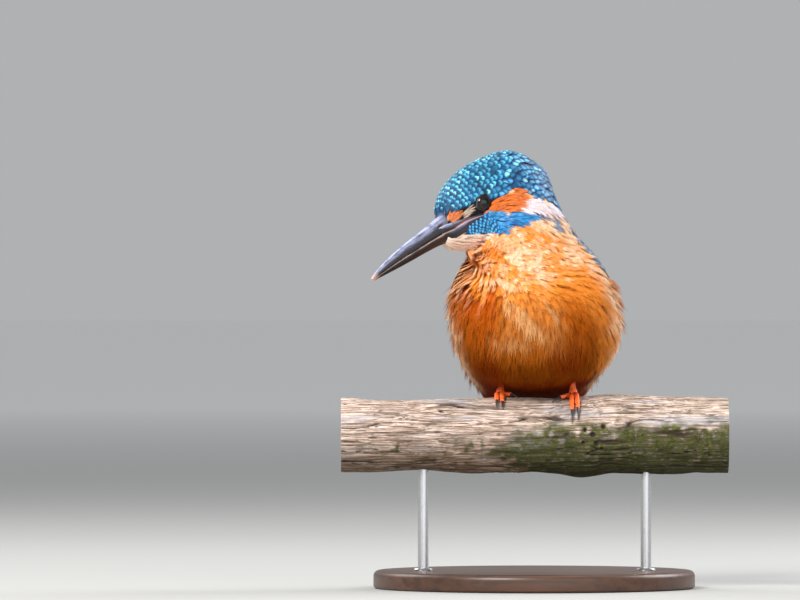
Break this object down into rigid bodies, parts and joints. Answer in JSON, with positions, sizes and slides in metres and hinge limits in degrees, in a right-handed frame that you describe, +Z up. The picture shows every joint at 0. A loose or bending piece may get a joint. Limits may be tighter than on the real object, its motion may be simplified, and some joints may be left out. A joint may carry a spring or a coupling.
{
  "type": "common kingfisher",
  "caption": "Still life-size kingfisher with its head turned and its bill drooped, gripping a cut length of branch on a plain display stand.",
  "frame": {"origin": "centre of the stand base's underside", "axes": "+Z up, -Y the way the bird's breast faces, +X to the bird's left along the branch"},
  "size_m": [0.132, 0.11, 0.1495],
  "materials": {
    "plumage_blue": "soft feathers, dark blue with bright turquoise tips",
    "plumage_orange": "soft fluffed feathers, orange with cream tips",
    "eye": "wet gloss, dark brown-black",
    "bill": "smooth slate-black horn",
    "foot_skin": "satin scaled skin, orange-red",
    "claw": "satin dark horn",
    "bark": "weathered, cracked, with moss and lichen",
    "base_wood": "satin oiled dark wood",
    "rod_steel": "satin steel"
  },
  "bodies": {
    "root": {"head": "plumage_blue", "wing_left": "plumage_blue", "wing_right": "plumage_blue", "tail": "plumage_blue", "neck": "plumage_orange", "trunk": "plumage_orange", "eye_left": "eye", "eye_right": "eye", "bill_upper": "bill", "bill_lower": "bill", "leg_left": "foot_skin", "leg_right": "foot_skin", "claw_left_outer": "claw", "claw_left_middle": "claw", "claw_left_inner": "claw", "claw_left_hind": "claw", "claw_right_outer": "claw", "claw_right_middle": "claw", "claw_right_inner": "claw", "claw_right_hind": "claw", "perch": "bark", "stand_base": "base_wood", "stand_rod_left": "rod_steel", "stand_rod_right": "rod_steel"}
  },
  "joints": []
}
